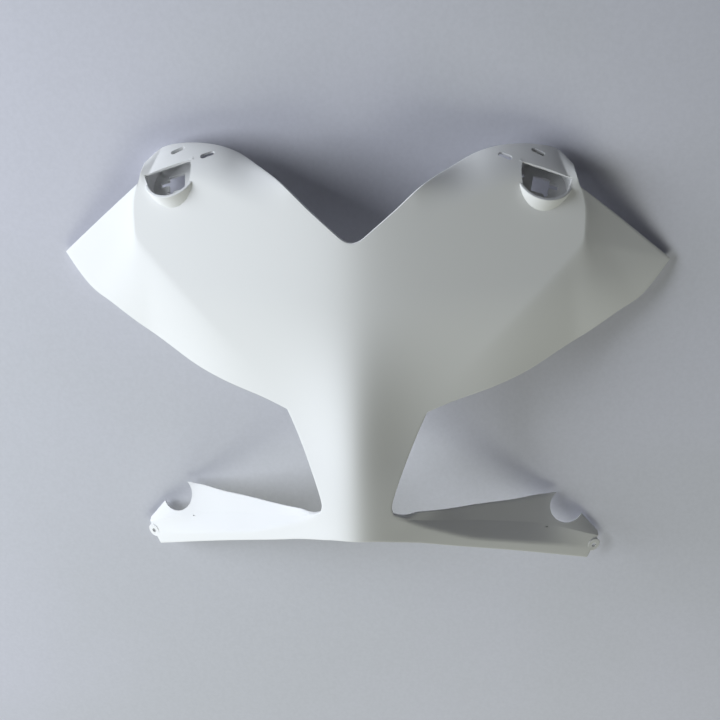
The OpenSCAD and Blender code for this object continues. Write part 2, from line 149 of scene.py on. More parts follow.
def sheetPoints(line):
    # the front face of the right half: flat layout first, then its height and its own index grid
    s, g = sheetSize, sheetGrid
    jStrip = g["strip"]
    jCorner = jStrip + g["neck"]
    jCrease = jCorner + g["flank"]
    jRoll = jCrease + g["face"]
    jTop = jRoll + g["roll"]
    angle = math.radians(s["rollAngle"])
    points, index = [], {}
    creaseTop = line["crease"][-1]
    tipFrom = np.array([creaseTop[0] + 10, 0.68 * creaseTop[1]])
    tipWay = unit(np.array([s["span"] / 2, s["tipZ"]]) - tipFrom)
    tipAcross = np.array([-tipWay[1], tipWay[0]])

    def wing(t, j):
        low, mid, top = curve(line["wingLow"], t), curve(line["crease"], t), curve(line["topEdge"], t)
        length = float(np.linalg.norm(top - mid))
        radius = min(s["rollRadius"], 0.6 * length)
        roll = radius / length
        drop = 0.0
        if j <= jCrease:
            p = mix(low, mid, (j - jCorner) / g["flank"])
            soft = mix(sheetEdge["creaseLow"], sheetEdge["creaseTop"], float(ease(t / 0.9)))
            away = math.hypot(float(np.linalg.norm(p - mid)), soft) - soft
            drop = s["flankFall"] * away * float(ease(t / 0.6))
            beyond = max(float((p - tipFrom) @ tipAcross), 0)
            drop += s["tipLean"] * beyond * min(1, 2 * (jCrease - j) / g["flank"])
        elif j <= jRoll:
            p = mix(mid, top, (1 - roll) * (j - jCrease) / g["face"])
        else:
            a = angle * (j - jRoll) / g["roll"]
            p = mix(mid, top, 1 - roll * (1 - math.sin(a) / math.sin(angle)))
            drop = radius * (1 - math.cos(a)) * float(ease((t - 0.2) / 0.25))
        return p, drop

    def rowHeight(j):
        low, mid, high = s["notchZ"] + 6, s["cornerZ"] - 6, s["cornerZ"] + 32
        if j <= jStrip:
            return mix(s["beakZ"], low, j / g["strip"])
        if j <= jCorner:
            return mix(low, mid, (j - jStrip) / g["neck"])
        if j <= jCrease:
            return mix(mid, high, (j - jCorner) / g["flank"])
        return mix(high, s["veeZ"], (j - jCrease) / (jTop - jCrease))

    def spineEdge(j):
        if j <= jStrip:
            return mix(line["stripLow"][0], line["neck"][0], j / g["strip"]), 0.0
        if j <= jCorner:
            return curve(line["neck"], (j - jStrip) / g["neck"]), 0.0
        return wing(0.0, j)

    def add(i, j, p, drop):
        index[i, j] = len(points)
        points.append([p[0], p[1], drop])

    for j in range(jTop + 1):
        edge, drop = spineEdge(j)
        for i in range(g["spine"] + 1):
            t = i / g["spine"]
            add(i, j, [edge[0] * t, mix(rowHeight(j), edge[1], t * t)], drop * t * t)
    for i in range(1, g["arm"] + 1):
        for j in range(jStrip + 1):
            t = i / g["arm"]
            low, top = curve(line["stripLow"], t), curve(line["stripTop"], t)
            over = j / g["strip"] - mix(1, s["stripPart"], float(ease(t / 0.45)))
            over = (over + math.hypot(over, 0.03)) / 2 - 0.0075
            lean = s["slopeLean"] * mix(1, s["slopeEnd"], float(ease((t - 0.6) / 0.4)))
            drop = lean * max(over, 0) * float(np.linalg.norm(top - low))
            add(g["spine"] + i, j, mix(low, top, j / g["strip"]), drop)
    for i in range(1, g["wing"] + 1):
        for j in range(jCorner, jTop + 1):
            p, drop = wing(i / g["wing"], j)
            add(g["spine"] + i, j, p, drop)
    flat = np.array(points)
    over = sheetHeight(flat[:, 0], flat[:, 1]) - flat[:, 2] - s["wall"]
    height = s["wall"] + (over + np.sqrt(over * over + 1)) / 2  # never nearer the rear plane than the wall
    front = np.stack([flat[:, 0], -height, flat[:, 1]], 1)
    rows = (jStrip, jCorner, jTop)
    return front, index, rows


def sheetQuads(index, rows):
    g = sheetGrid
    jStrip, jCorner, jTop = rows
    quads = []
    for (i, j) in index:
        if (i + 1, j + 1) not in index or (i + 1, j) not in index or (i, j + 1) not in index:
            continue
        inStrip = j < jStrip and i < g["spine"] + g["arm"]
        inWing = j >= jCorner and i < g["spine"] + g["wing"]
        if i < g["spine"] or inStrip or inWing:
            quads.append([index[i, j], index[i + 1, j], index[i + 1, j + 1], index[i, j + 1]])
    return np.array(quads)


def pointNormals(points, quads, onMiddle):
    a, b, c, d = (points[quads[:, k]] for k in range(4))
    faceNormal = np.cross(c - a, d - b)
    normal = np.zeros_like(points)
    for k in range(4):
        np.add.at(normal, quads[:, k], faceNormal)
    normal[onMiddle, 0] = 0
    return unit(normal)


def openingRim(index, rows):
    # from the wing tip along the opening, down the spine and out to the end of the arm
    g = sheetGrid
    jStrip, jCorner, _ = rows
    n = g["spine"]
    rim = [index[i, jCorner] for i in range(n + g["wing"], n - 1, -1)]
    rim += [index[n, j] for j in range(jCorner - 1, jStrip - 1, -1)]
    rim += [index[i, jStrip] for i in range(n + 1, n + g["arm"] + 1)]
    return rim


edgeLines = {}  # points along the edges, set down by shellMesh for the wear and the painted shade


def shellMesh():
    # both faces, the returns round the openings and the walls between them, mirrored about x = 0
    s, g = sheetSize, sheetGrid
    line = outlines()
    base, index, rows = sheetPoints(line)
    jStrip, jCorner, jTop = rows
    quads = sheetQuads(index, rows)
    onMiddle = np.array([index[0, j] for j in range(jTop + 1)])
    normal = pointNormals(base, quads, onMiddle)
    rim = openingRim(index, rows)
    rimPoint, rimNormal = base[rim], normal[rim]
    count = len(rim)
    cNeck, cNotch = g["wing"], g["wing"] + g["neck"]
    c = np.arange(count)
    width = np.where(c <= cNeck, mix(s["wingFlange"], s["spineFlange"], ease(c / cNeck)), s["spineFlange"])
    narrow = rimPoint - width[:, None] * rimNormal
    narrow[:, 1] = np.minimum(narrow[:, 1], -0.2)
    q = (c - cNotch) / g["arm"]
    shelf = curve(line["shelf"], q)
    wide = np.stack([shelf[:, 0], -shelf[:, 2], shelf[:, 1]], 1)
    blend = np.where(c <= cNotch, 0, ease(q / 0.12))[:, None]
    edge = mix(narrow, wide, blend)
    along = unit(rimPoint[np.minimum(c + 1, count - 1)] - rimPoint[np.maximum(c - 1, 0)])
    inward = unit(np.cross(edge - rimPoint, along))  # off the opening, into the sheet
    for _ in range(2):
        inward[1:-1] = unit(inward[:-2] + 2 * inward[1:-1] + inward[2:])
    dot = np.sum(-rimNormal * inward, 1, keepdims=True)
    mitre = (inward - rimNormal) / np.maximum(1 + dot, 0.4)
    radius = sheetEdge["foldRadius"]
    centre = rimPoint + radius * mitre
    frontShift = centre + radius * rimNormal - rimPoint
    rearShift = s["wall"] * (mitre + rimNormal)

    # the sheet draws in a little towards each rim, which leaves room for the rounded fold
    near = np.zeros(len(base), int)
    reach = np.full(len(base), 1e9)
    for k in range(count):
        d = np.linalg.norm(base - rimPoint[k], axis=1)
        closer = d < reach
        near[closer], reach[closer] = k, d[closer]
    weight = (1 - ease(reach / sheetEdge["foldReach"]))[:, None]
    front = base + frontShift[near] * weight
    rear = base - s["wall"] * normal + rearShift[near] * weight
    for skin in (front, rear):
        skin[onMiddle, 0] = 0

    points = [front, rear]
    total = len(base)
    ring = []
    for k in range(1, g["fold"] + 1):  # rows round the fold
        turn = k / g["fold"]
        direction = unit(rimNormal * (1 - turn) - inward * turn)
        points.append(centre + radius * direction)
        ring.append(2 * total + (k - 1) * count)
    start = centre - radius * inward
    for k in range(1, g["flange"] + 1):  # rows down the return
        points.append(mix(start, edge, k / g["flange"]))
        ring.append(2 * total + (g["fold"] + k - 1) * count)
    rearEdge = edge + s["wall"] * inward
    back = []
    for k in range(1, g["flange"] + 1):
        points.append(mix(rear[rim], rearEdge, k / g["flange"]))
        back.append(2 * total + (g["fold"] + g["flange"] + k - 1) * count)
    right = np.vstack(points)

    faces = [list(q) for q in quads] + [[q[0] + total, q[3] + total, q[2] + total, q[1] + total]
                                        for q in quads]

    def stripFaces(first, second):
        for k in range(len(first) - 1):
            faces.append([first[k], first[k + 1], second[k + 1], second[k]])

    rimFront, rimRear = list(rim), [r + total for r in rim]
    previous = rimFront
    for r in ring:
        row = [r + k for k in range(count)]
        stripFaces(row, previous)
        previous = row
    outer = previous
    previous = rimRear
    for r in back:
        row = [r + k for k in range(count)]
        stripFaces(previous, row)
        previous = row
    stripFaces(previous, outer)
    # closes the free edges of the sheet
    low = [index[g["spine"] + i, 0] for i in range(g["arm"] + 1)]
    low = [index[i, 0] for i in range(g["spine"])] + low
    stripFaces([v + total for v in low], low)
    top = [index[i, jTop] for i in range(g["spine"] + g["wing"] + 1)]
    stripFaces(top, [v + total for v in top])
    tip = [index[g["spine"] + g["wing"], j] for j in range(jCorner, jTop + 1)]
    stripFaces([v + total for v in tip], tip)
    end = [index[g["spine"] + g["arm"], j] for j in range(jStrip + 1)]
    stripFaces([v + total for v in end], end)
    for at in (0, count - 1):  # the ends of the return
        chainFront = [rim[at]] + [r + at for r in ring]
        chainBack = [rim[at] + total] + [r + at for r in back]
        fan = chainFront[:g["fold"] + 1] + [chainBack[0]]
        fan = fan if at else fan[::-1]
        faces.append(fan)
        rest = chainFront[g["fold"]:]
        for k in range(len(rest) - 1):
            quad = [rest[k], rest[k + 1], chainBack[k + 1], chainBack[k]]
            faces.append(quad if at else quad[::-1])
    left = right * [-1, 1, 1]
    size = len(right)
    fold = 2 * total + (g["fold"] // 2 - 1) * count
    marked = {"openingEdge": right[fold:fold + count], "freeEdge": (right[low + top + tip + end]
              + right[[v + total for v in low + top + tip + end]]) / 2}
    for name, points in marked.items():
        edgeLines[name] = [Vector(p) for p in packed(np.vstack([points, points * [-1, 1, 1]]))]
    middleSet = {int(v) for v in onMiddle} | {int(v) + total for v in onMiddle}
    mirrored = [[v if v in middleSet else v + size for v in face[::-1]] for face in faces]
    return np.vstack([right, left]), faces + mirrored


def packed(points):
    return (np.asarray(points) - middleOfPart) / 1000


def bossFrame(side):
    # axes of a boss as columns, Z out of the mouth, and the middle of the mouth
    lean, splay = math.radians(bossSize["lean"]), math.radians(bossSize["splay"]) * side
    turn = Matrix.Rotation(splay, 3, "Y") @ Matrix.Rotation(lean, 3, "X")
    return np.array(turn), np.array([side * bossSize["x"], -bossSize["y"], bossSize["z"]])


def newObject(name, points, faces):
    mesh = bpy.data.meshes.new(name)
    mesh.from_pydata([tuple(p) for p in points], [], [[int(v) for v in f] for f in faces])
    mesh.validate()
    obj = bpy.data.objects.new(name, mesh)
    bpy.context.scene.collection.objects.link(obj)
    return obj


def cleaned(obj):
    bm = bmesh.new()
    bm.from_mesh(obj.data)
    loose = [v for v in bm.verts if not v.link_faces]
    bmesh.ops.delete(bm, geom=loose, context="VERTS")
    bmesh.ops.recalc_face_normals(bm, faces=bm.faces)
    bm.to_mesh(obj.data)
    bm.free()
    return obj


def latheMesh(name, profile, steps, turn, origin):
    # a closed form turned about its own Z, profile given as radius and height
    points, faces = [], []
    for k in range(steps):
        a = 2 * math.pi * k / steps
        for r, h in profile:
            points.append([r * math.cos(a), r * math.sin(a), h])
    n = len(profile)
    for k in range(steps):
        m = (k + 1) % steps
        for h in range(n - 1):
            faces.append([k * n + h, m * n + h, m * n + h + 1, k * n + h + 1])
    faces.append([k * n for k in range(steps)][::-1])
    faces.append([k * n + n - 1 for k in range(steps)])
    return cleaned(newObject(name, packed(np.array(points) @ turn.T + origin), faces))


def prismMesh(name, outline, low, high, turn, origin):
    n = len(outline)
    points = [[x, y, h] for h in (low, high) for x, y in outline]
    faces = [[k, (k + 1) % n, (k + 1) % n + n, k + n] for k in range(n)]
    faces += [list(range(n))[::-1], list(range(n, 2 * n))]
    return cleaned(newObject(name, packed(np.array(points) @ turn.T + origin), faces))


def combine(target, tool, operation):
    cut = target.modifiers.new("cut", "BOOLEAN")
    cut.operation, cut.solver, cut.object = operation, "MANIFOLD", tool
    graph = bpy.context.evaluated_depsgraph_get()
    mesh = bpy.data.meshes.new_from_object(target.evaluated_get(graph))
    target.modifiers.clear()
    old = target.data
    target.data = mesh
    bpy.data.meshes.remove(old)
    bpy.data.objects.remove(tool)


def stadium(length, width, steps=10):
    # outline of a slot with round ends
    half, r = (length - width) / 2, width / 2
    ends = [(half, -90), (-half, 90)]
    turns = [(x, math.radians(a + 180 * k / steps)) for x, a in ends for k in range(steps + 1)]
    return [(x + r * math.cos(a), r * math.sin(a)) for x, a in turns]


def turnMatrix(*turns):
    # turns are axis and degrees, the first one outermost
    m = Matrix.Identity(3)
    for axis, degrees in turns:
        m = m @ Matrix.Rotation(math.radians(degrees), 3, axis)
    return np.array(m)


def rearOfBosses():
    # the bosses reach furthest to the rear, so they say where the part's box ends
    b = bossSize
    lean = math.radians(b["lean"])
    return -b["y"] + (b["depth"] + b["floor"]) * math.sin(lean) + b["diameter"] / 2 * math.cos(lean)


def bevelEdges(obj, width, segments, angle):
    soft = obj.modifiers.new("softEdge", "BEVEL")
    soft.width, soft.segments, soft.limit_method = width / 1000, segments, "ANGLE"
    soft.angle_limit = math.radians(angle)
    soft.use_clamp_overlap = False
    graph = bpy.context.evaluated_depsgraph_get()
    mesh = bpy.data.meshes.new_from_object(obj.evaluated_get(graph))
    obj.modifiers.clear()
    old = obj.data
    obj.data = mesh
    bpy.data.meshes.remove(old)


def roundedRim(radius, low, high, soft, steps=5):
    # profile of a boss: straight wall with a rounded upper edge
    rim = [(radius - soft + soft * math.cos(math.radians(90 * k / steps)),
            high - soft + soft * math.sin(math.radians(90 * k / steps))) for k in range(steps + 1)]
    return [(radius, low)] + rim


def underRoof(name, side, turn, mouth, top):
    # the room behind the mouth's middle and under the rolled edge
    b = bossSize
    tilted = turn @ turnMatrix(("Y", side * b["roofTilt"]))
    w, front = b["diameter"], b["roofStart"]
    return prismMesh(name, [(-w, front), (w, front), (w, w), (-w, w)], -b["depth"], top, tilted, mouth)


def addBosses(shell):
    b = bossSize
    radius, steps = b["diameter"] / 2, roundSteps["boss"]
    pocketRadius = radius - b["wall"]
    for side in (-1, 1):
        turn, mouth = bossFrame(side)
        profile = roundedRim(radius, -b["depth"] - b["floor"], 0, b["rimRound"])
        combine(shell, latheMesh("bossSolid", profile, steps, turn, mouth), "UNION")
        back = latheMesh("bossBack", [(radius, -b["depth"]), (radius, b["backRise"])], steps, turn, mouth)
        combine(back, underRoof("backRoom", side, turn, mouth, b["roofHeight"]), "INTERSECT")
        combine(shell, back, "UNION")
    for side in (-1, 1):
        turn, mouth = bossFrame(side)
        # the last points soften the lip of the pocket
        profile = [(pocketRadius, -b["depth"]), (pocketRadius, -0.9), (pocketRadius + 0.1, -0.4),
                   (pocketRadius + 0.5, 0.05)]
        combine(shell, latheMesh("pocket", profile, steps, turn, mouth), "DIFFERENCE")
        rise = b["openRise"]
        above = latheMesh("pocketAbove", [(pocketRadius, -1), (pocketRadius, rise)], steps, turn, mouth)
        w, front = b["diameter"], b["roofStart"]
        openPart = prismMesh("openPart", [(-w, -w), (w, -w), (w, front), (-w, front)], -2, rise + 1, turn, mouth)
        combine(openPart, underRoof("roofRoom", side, turn, mouth, b["roofHeight"] - b["roofThick"]), "UNION")
        combine(above, openPart, "INTERSECT")
        combine(shell, above, "DIFFERENCE")
        under = -b["depth"] - b["floor"] - 1
        w, h, slot = b["keyWidth"] / 2, b["keyLength"] / 2, b["keySlot"] / 2
        key = [(-w, -h), (w, -h), (w, h), (-w, h)]
        near, far, at = side * b["slotFrom"], side * b["slotTo"], b["slotAt"]
        reach = [(near, at - slot), (far, at - slot), (far, at + slot), (near, at + slot)]
        tip, wide, foot = side * b["pointAt"], b["pointHalf"], b["pointFrom"]
        point = [(tip - wide, foot), (tip, b["pointTo"]), (tip + wide, foot)]
        for outline in (key, reach, point):
            combine(shell, prismMesh("key", outline, under, -b["depth"] + 1, turn, mouth), "DIFFERENCE")
        aside, r = b["screwAside"], b["screw"] / 2
        screwAt = np.array([-side * aside * 2 * pocketRadius, b["screwRise"] * aside * 2 * pocketRadius, 0])
        hole = latheMesh("screwHole", [(r, under), (r, -b["depth"] + 1)], roundSteps["screwHole"], turn,
                         mouth + turn @ screwAt)
        combine(shell, hole, "DIFFERENCE")


def addTabsAndSlots(shell):
    s, t = sheetSize, cutSize
    tabX, tabZ = s["armX"] - t["tabIn"], s["armZ"] - t["tabDrop"]
    tabY = -float(sheetHeight(np.float64(tabX), np.float64(tabZ)))
    lean = math.degrees(math.atan(s["armFall"]))
    for side in (-1, 1):
        turn = turnMatrix(("Z", side * lean), ("X", -90))
        at = np.array([side * tabX, tabY, tabZ])
        r, thick, soft = t["tabDiameter"] / 2, t["tabThick"], t["tabRound"]
        profile = [(r - soft, 0), (r, soft), (r, thick - soft), (r - soft, thick)]
        combine(shell, latheMesh("tab", profile, roundSteps["tab"], turn, at), "UNION")
    for side in (-1, 1):
        turn = turnMatrix(("Z", side * lean), ("X", -90))
        at = np.array([side * tabX, tabY, tabZ])
        r, reach = t["tabHole"] / 2, t["boreReach"]
        bore = latheMesh("tabBore", [(r, -reach), (r, reach)], roundSteps["tabBore"], turn, at)
        combine(shell, bore, "DIFFERENCE")
        turn = turnMatrix(("X", t["slotLean"]), ("Z", -side * t["slotTurn"]))
        for x, y in ((t["slotInX"], t["slotInY"]), (t["slotOutX"], t["slotOutY"])):
            at = np.array([side * x, -y, s["lobeTopZ"] - t["slotDrop"]])
            outline = stadium(t["slotLength"], t["slotWidth"])
            slot = prismMesh("slot", outline, -t["slotUnder"], t["slotOver"], turn, at)
            combine(shell, slot, "DIFFERENCE")
        turn = turnMatrix(("X", t["scoopTilt"]))
        at = np.array([side * (s["armX"] - t["scoopIn"]), -t["scoopY"], s["armZ"] + t["scoopUp"]])
        r, reach = t["scoopRadius"], t["scoopReach"]
        scoop = latheMesh("scoop", [(r, -reach), (r, reach)], roundSteps["scoop"], turn, at)
        combine(shell, scoop, "DIFFERENCE")


def heldInBox(obj):
    # nothing of the visible mesh stands outside the solid's own box
    low, high = np.array(cadLow), np.array(cadHigh)
    co = np.empty(len(obj.data.vertices) * 3)
    obj.data.vertices.foreach_get("co", co)
    co = np.clip(co.reshape(-1, 3), low, high)
    obj.data.vertices.foreach_set("co", co.ravel())
    obj.data.update()


def smoothShaded(obj, angle):
    obj.data.polygons.foreach_set("use_smooth", [True] * len(obj.data.polygons))
    obj.data.set_sharp_from_angle(angle=math.radians(angle))


def makeFairing():
    points, faces = shellMesh()
    shell = cleaned(newObject("moulding", packed(points), faces))
    bevelEdges(shell, sheetEdge["bevel"], 2, 50)
    print("sheet made:", len(shell.data.polygons), "faces")
    addBosses(shell)
    addTabsAndSlots(shell)
    heldInBox(shell)
    smoothShaded(shell, 32)
    print("bosses, tabs and slots cut:", len(shell.data.polygons), "faces")
    return shell


# Where the source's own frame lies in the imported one, in millimetres
cadTopRise = 0.035  # the solid's top edge stands this far above the lobes' named height
middleOfPart = np.array([0.0, rearOfBosses() - cadHigh[1] * 1000,
                         sheetSize["lobeTopZ"] + cadTopRise - cadHigh[2] * 1000])
print("middle of the part:", middleOfPart)

fairing = makeFairing()


# Finish of the paint: colours and roughness, then the wear at the edges; the grime colour also paints shade at
# the opening's rim and along a fold
paintFinish = {
    "white": (0.79, 0.82, 0.825), "shade": (0.745, 0.785, 0.765), "grimeAndShade": (0.20, 0.185, 0.15),
    "bare": (0.47, 0.49, 0.50), "roughness": 0.21, "bareRoughness": 0.55, "coat": 0.9, "coatRoughness": 0.05,
    "peelScale": 420.0, "peelHeight": 0.035, "cloudScale": 9.0, "scratchDensity": 0.66,
    "lightMark": (0.90, 0.92, 0.92),
}
# At the opening's rim the narrow band is worn chips and painted shade of the return in shadow. The band reaching
# 10 mm is a faint painted shade over the return and next to it. The free edges get wear.
edgeFinish = {"openingReach": 0.0011, "freeReach": 0.0016, "openingBreak": 0.42, "freeBreak": 0.5,
              "openingStrength": 0.55, "freeStrength": 0.6, "nestReach": 0.010, "nestBreak": 0.45,
              "nestStrength": 0.10, "raggedScale": 120.0, "holeScale": 55.0}
lineMarkGrain = {"wobble": 0.0016, "wobbleScale": 330.0, "holeScale": 900.0, "holeSoft": 0.06}
# Marks in the paint and painted shade lines along a fold, in millimetres: x and z of both ends, half
# width, then break-up, strength and whether it is dark. The depth of an end is found on the moulding itself.
paintMarksAndShadeLines = [
    ((118, 166), (119, 156), 0.45, 0.30, 0.60, True),
    ((122, 166), (122, 162), 0.45, 0.35, 0.55, True),
    ((118, 163), (122, 163), 0.45, 0.40, 0.50, True),
    ((108, 146), (114, 142), 0.55, 0.35, 0.50, True),
    ((68, 205), (66, 197), 0.90, 0.45, 0.45, True),
    ((65, 195), (60, 172), 0.70, 0.52, 0.40, True),
    ((60, 170), (52, 163), 0.80, 0.50, 0.40, True),
    ((231, 165), (236, 161), 0.50, 0.35, 0.60, False),
    ((208, 201), (213, 190), 1.10, 0.50, 0.75, True),
    ((212, 190), (216, 180), 1.00, 0.55, 0.65, True),
    ((212, 168), (213, 164), 0.65, 0.30, 0.70, False),
    ((-34, 157), (-33, 157), 0.80, 0.10, 0.45, True),
    # The last two lines are painted shade along the fold that runs from the crease to the wing tip.
    ((218, 164), (251, 145), 0.60, 0.45, 0.16, True),
    ((251, 145), (286, 128), 0.60, 0.45, 0.16, True),
]


def setInput(tree, socket, value):
    # links a socket, or sets a number or a vector
    if isinstance(value, bpy.types.NodeSocket):
        tree.links.new(value, socket)
    else:
        socket.default_value = value


def mathNode(tree, operation, a, b=None, clamp=False):
    node = tree.nodes.new("ShaderNodeMath")
    node.operation, node.use_clamp = operation, clamp
    setInput(tree, node.inputs[0], a)
    if b is not None:
        setInput(tree, node.inputs[1], b)
    return node.outputs[0]


def vectorNode(tree, operation, a, b=None, scale=None):
    node = tree.nodes.new("ShaderNodeVectorMath")
    node.operation = operation
    setInput(tree, node.inputs[0], a)
    if b is not None:
        setInput(tree, node.inputs[1], b)
    if scale is not None:
        setInput(tree, node.inputs["Scale"], scale)
    return node.outputs["Value" if operation in ("DOT_PRODUCT", "LENGTH", "DISTANCE") else "Vector"]


def ramp(tree, value, low, high, first=0.0, last=1.0):
    # smooth step from first to last as the value goes from low to high
    node = tree.nodes.new("ShaderNodeMapRange")
    node.interpolation_type = "SMOOTHSTEP"
    for name, v in (("Value", value), ("From Min", low), ("From Max", high), ("To Min", first),
                    ("To Max", last)):
        setInput(tree, node.inputs[name], v)
    return node.outputs["Result"]


def noise(tree, place, scale, detail=2.0, roughness=0.5):
    node = tree.nodes.new("ShaderNodeTexNoise")
    for name, v in (("Vector", place), ("Scale", scale), ("Detail", detail), ("Roughness", roughness)):
        setInput(tree, node.inputs[name], v)
    return node.outputs["Fac"]


def mixColour(tree, factor, a, b):
    node = tree.nodes.new("ShaderNodeMix")
    node.data_type = "RGBA"
    setInput(tree, node.inputs["Factor"], factor)
    ends = [s for s in node.inputs if s.type == "RGBA"]
    for socket, v in zip(ends, (a, b)):
        setInput(tree, socket, v if isinstance(v, bpy.types.NodeSocket) else (*v, 1))
    return [s for s in node.outputs if s.type == "RGBA"][0]


def newGroup(name, inputs, outputs):
    tree = bpy.data.node_groups.new(name, "ShaderNodeTree")
    for label, kind, value in inputs:
        socket = tree.interface.new_socket(label, in_out="INPUT", socket_type=kind)
        if value is not None:
            socket.default_value = value
    for label, kind in outputs:
        tree.interface.new_socket(label, in_out="OUTPUT", socket_type=kind)
    return tree, tree.nodes.new("NodeGroupInput").outputs, tree.nodes.new("NodeGroupOutput").inputs


def objectPlace(tree):
    return tree.nodes.new("ShaderNodeTexCoord").outputs["Object"]


def lineMarkGroup():
    # a line between two points, broken up by noise: worn scuffs, and painted shade along a fold
    tree, given, result = newGroup("scuffAndShadeLine", [
        ("Start", "NodeSocketVector", None), ("End", "NodeSocketVector", None),
        ("Width", "NodeSocketFloat", 0.0006), ("Break", "NodeSocketFloat", 0.4)],
        [("Mask", "NodeSocketFloat")])
    g = lineMarkGrain
    place = objectPlace(tree)
    way = vectorNode(tree, "SUBTRACT", given["End"], given["Start"])
    fromStart = vectorNode(tree, "SUBTRACT", place, given["Start"])
    share = mathNode(tree, "DIVIDE", vectorNode(tree, "DOT_PRODUCT", fromStart, way),
                     vectorNode(tree, "DOT_PRODUCT", way, way), clamp=True)
    nearest = vectorNode(tree, "SCALE", way, scale=share)
    swing = mathNode(tree, "SUBTRACT", noise(tree, place, g["wobbleScale"]), 0.5)
    wobble = mathNode(tree, "MULTIPLY", swing, g["wobble"])
    away = mathNode(tree, "ADD", vectorNode(tree, "DISTANCE", fromStart, nearest), wobble)
    body = ramp(tree, away, 0.0, given["Width"], 1.0, 0.0)
    holes = ramp(tree, noise(tree, place, g["holeScale"], 4.0),
                 mathNode(tree, "SUBTRACT", given["Break"], g["holeSoft"]),
                 mathNode(tree, "ADD", given["Break"], g["holeSoft"]))
    setInput(tree, result["Mask"], mathNode(tree, "MULTIPLY", body, holes))
    return tree


def edgeGroup():
    # dirt, wear and painted shade that fade with the distance from an edge
    tree, given, result = newGroup("edgeGrimeAndShade", [
        ("Distance", "NodeSocketFloat", 1.0), ("Reach", "NodeSocketFloat", 0.001),
        ("Break", "NodeSocketFloat", 0.4)], [("Mask", "NodeSocketFloat")])
    place = objectPlace(tree)
    uneven = mathNode(tree, "MULTIPLY", noise(tree, place, edgeFinish["raggedScale"], 3.0), 2.0)
    ragged = mathNode(tree, "MULTIPLY", given["Reach"], uneven)
    body = ramp(tree, given["Distance"], 0.0, ragged, 1.0, 0.0)
    holes = ramp(tree, noise(tree, place, edgeFinish["holeScale"], 5.0, 0.6),
                 mathNode(tree, "SUBTRACT", given["Break"], 0.08), mathNode(tree, "ADD", given["Break"], 0.10))
    setInput(tree, result["Mask"], mathNode(tree, "MULTIPLY", body, holes))
    return tree


def surfaceGroup():
    # slow tone changes, fine scratches and the orange peel of the paint
    f = paintFinish
    tree, given, result = newGroup("paintSurface", [("Peel", "NodeSocketFloat", f["peelHeight"])], [
        ("Cloud", "NodeSocketFloat"), ("Scratch", "NodeSocketFloat"), ("Normal", "NodeSocketVector")])
    place = objectPlace(tree)
    setInput(tree, result["Cloud"], ramp(tree, noise(tree, place, f["cloudScale"], 3.0), 0.35, 0.70))
    lines = []
    for turn, squeeze in (((0.3, 0.2, 0.5), (900.0, 900.0, 14.0)), ((0.1, -0.4, -0.7), (14.0, 900.0, 900.0))):
        mapping = tree.nodes.new("ShaderNodeMapping")
        setInput(tree, mapping.inputs["Vector"], place)
        mapping.inputs["Rotation"].default_value = turn
        mapping.inputs["Scale"].default_value = squeeze
        lines.append(ramp(tree, noise(tree, mapping.outputs[0], 1.0, 1.0), f["scratchDensity"],
                          f["scratchDensity"] + 0.05))
    patches = ramp(tree, noise(tree, place, 16.0, 2.0), 0.48, 0.66)
    setInput(tree, result["Scratch"], mathNode(tree, "MULTIPLY", mathNode(tree, "MAXIMUM", *lines), patches))
    bump = tree.nodes.new("ShaderNodeBump")
    bump.inputs["Distance"].default_value = 0.0002
    setInput(tree, bump.inputs["Strength"], given["Peel"])
    setInput(tree, bump.inputs["Height"], noise(tree, place, f["peelScale"], 1.0))
    setInput(tree, result["Normal"], bump.outputs["Normal"])
    return tree


def useGroup(tree, group, values=None):
    node = tree.nodes.new("ShaderNodeGroup")
    node.node_tree = group
    for name, value in (values or {}).items():
        setInput(tree, node.inputs[name], value)
    return node.outputs


def edgeDistances(obj):
    # distance of each point from the opening's rim and from the free edges, in metres
    for name, points in edgeLines.items():
        tree = KDTree(len(points))
        for k, p in enumerate(points):
            tree.insert(p, k)
        tree.balance()
        values = [tree.find(v.co)[2] for v in obj.data.vertices]
        obj.data.attributes.new(name, "FLOAT", "POINT").data.foreach_set("value", values)
    print("edge distances stored for", len(obj.data.vertices), "points")


def attribute(tree, name):
    node = tree.nodes.new("ShaderNodeAttribute")
    node.attribute_type, node.attribute_name = "GEOMETRY", name
    return node.outputs["Fac"]


def surfaceFinder(obj):
    # finds the point of the front surface at x and z, both in millimetres
    tree = BVHTree.FromPolygons([v.co for v in obj.data.vertices], [list(p.vertices) for p in obj.data.polygons])

    def find(x, z):
        place = tree.ray_cast(Vector((x / 1000, -1, z / 1000)), Vector((0, 1, 0)))[0]
        if place is None:
            raise ValueError("a mark in the paint lies off the moulding")
        return place

    return find


